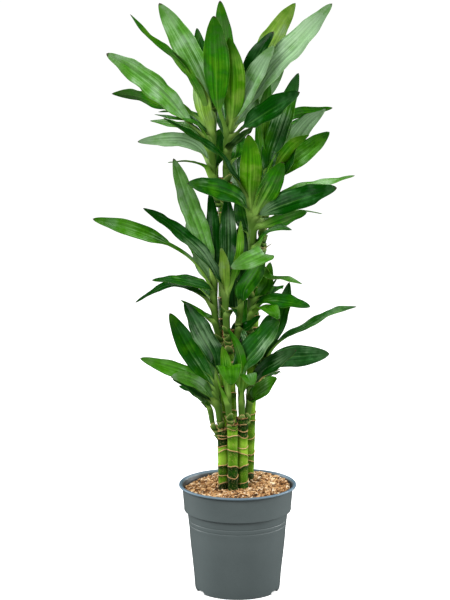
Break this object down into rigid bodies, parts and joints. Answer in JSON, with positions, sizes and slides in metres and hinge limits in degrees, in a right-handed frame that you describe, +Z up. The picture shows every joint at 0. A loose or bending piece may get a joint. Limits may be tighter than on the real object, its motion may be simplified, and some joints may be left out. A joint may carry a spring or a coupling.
{
  "type": "potted corn plant",
  "caption": "Tall corn plant (Dracaena) with ringed canes and leafy shoots, growing in soil in a grey-green plastic grow pot.",
  "frame": {"origin": "middle of the pot's underside, where it stands on a surface", "axes": "+Z up along the canes, -Y towards the plant's front, as in the picture"},
  "size_m": [0.5341, 0.326, 1.2118],
  "materials": {
    "pot": "fine satin texture",
    "soil": "loose bark and coir",
    "cane": "ringed green bark",
    "leaf": "glossy leaf"
  },
  "bodies": {
    "root": {"pot": "pot", "soil": "soil", "cane_1": "cane", "cane_2": "cane", "cane_3": "cane", "cane_4": "cane", "cane_5": "cane", "cane_6": "cane", "shoot_top_left": "leaf", "shoot_top_middle": "leaf", "shoot_right_back": "leaf", "shoot_right_front": "leaf", "shoot_middle_left": "leaf", "shoot_middle_front": "leaf", "shoot_middle_right": "leaf", "shoot_middle_back": "leaf", "shoot_low_back": "leaf", "shoot_low_right": "leaf", "shoot_low_middle": "leaf", "shoot_low_front": "leaf", "shoot_low_left": "leaf", "shoot_low_outer": "leaf"}
  },
  "joints": []
}
